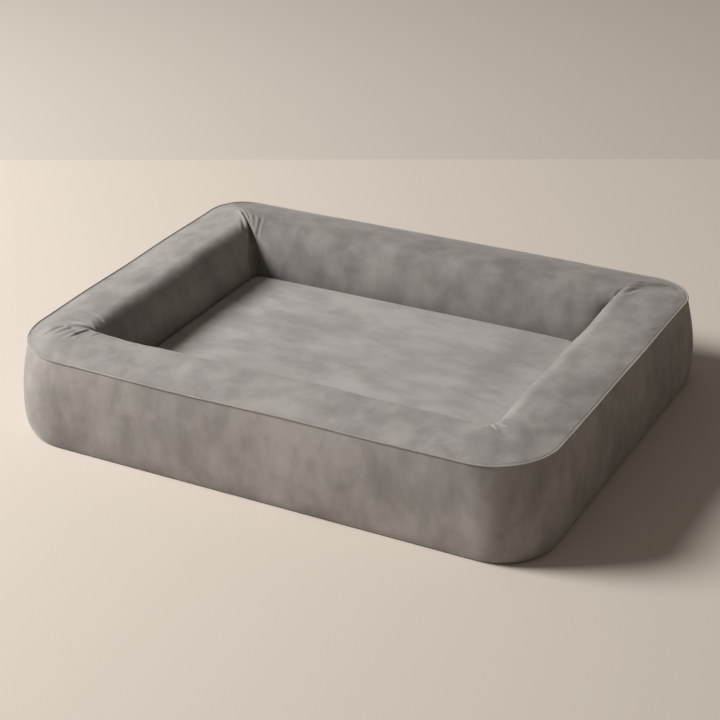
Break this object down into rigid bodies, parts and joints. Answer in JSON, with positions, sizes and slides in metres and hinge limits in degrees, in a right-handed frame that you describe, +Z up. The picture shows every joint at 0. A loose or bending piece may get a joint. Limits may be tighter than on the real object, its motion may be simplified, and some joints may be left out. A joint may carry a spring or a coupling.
{
  "type": "pet cushion bed",
  "caption": "Rectangular bolster pet bed: a padded ring with a piped outer edge, and a loose foam cushion lying in its well; zipped covers.",
  "frame": {"origin": "centre of the footprint, on the floor", "axes": "+X along the long front side, +Y towards the rear, where the zips are, +Z up"},
  "size_m": [1, 0.75, 0.178],
  "materials": {
    "cover_cloth": "brushed warm grey microsuede with a mottled nap",
    "base_cloth": "charcoal non-slip cloth with raised grip dots",
    "pad_base_cloth": "plain dark grey woven cloth",
    "wadding": "bonded polyester fibre wadding",
    "foam": "open-cell cushion foam",
    "memory_foam": "slow-recovery foam",
    "liner_film": "film-backed waterproof knit",
    "zip_tape": "woven polyester zip tape",
    "zip_coil": "nylon coil",
    "zip_metal": "die-cast zinc, painted dark grey"
  },
  "bodies": {
    "surround": {"wall_band": "cover_cloth", "base_panel": "base_cloth", "edge_piping": "cover_cloth", "bolster_panel_front": "cover_cloth", "bolster_panel_right": "cover_cloth", "bolster_panel_back": "cover_cloth", "bolster_panel_left": "cover_cloth", "bolster_wadding_front": "wadding", "bolster_wadding_right": "wadding", "bolster_wadding_back": "wadding", "bolster_wadding_left": "wadding", "bolster_foam_front": "foam", "bolster_foam_right": "foam", "bolster_foam_back": "foam", "bolster_foam_left": "foam", "cover_zip_tape_upper": "zip_tape", "cover_zip_tape_lower": "zip_tape", "cover_zip_coil_upper": "zip_coil", "cover_zip_coil_lower": "zip_coil", "cover_zip_stops": "zip_metal"},
    "cover_zip_slider": {"cover_zip_slider": "zip_metal"},
    "cover_zip_pull": {"cover_zip_pull": "zip_metal"},
    "sleep_pad": {"pad_top_panel": "cover_cloth", "pad_border": "cover_cloth", "pad_bottom_panel": "pad_base_cloth", "pad_liner": "liner_film", "pad_memory_foam": "memory_foam", "pad_support_foam": "foam", "pad_zip_tape_upper": "zip_tape", "pad_zip_tape_lower": "zip_tape", "pad_zip_coil_upper": "zip_coil", "pad_zip_coil_lower": "zip_coil", "pad_zip_stops": "zip_metal"},
    "pad_zip_slider": {"pad_zip_slider": "zip_metal"}
  },
  "joints": [
    {"name": "pad_lift", "type": "slide", "parent": "surround", "child": "sleep_pad", "axis": [0, 0, 1], "range_m": [0, 0.22]},
    {"name": "cover_zip_run", "type": "slide", "parent": "surround", "child": "cover_zip_slider", "axis": [1, 0, 0], "range_m": [0, 0.607]},
    {"name": "cover_zip_pull_turn", "type": "hinge", "parent": "cover_zip_slider", "child": "cover_zip_pull", "pos_m": [-0.3035, 0.373, 0.046], "axis": [0, 0, 1], "range_deg": [0, 170]},
    {"name": "pad_zip_run", "type": "slide", "parent": "sleep_pad", "child": "pad_zip_slider", "axis": [1, 0, 0], "range_m": [0, 0.507]}
  ]
}
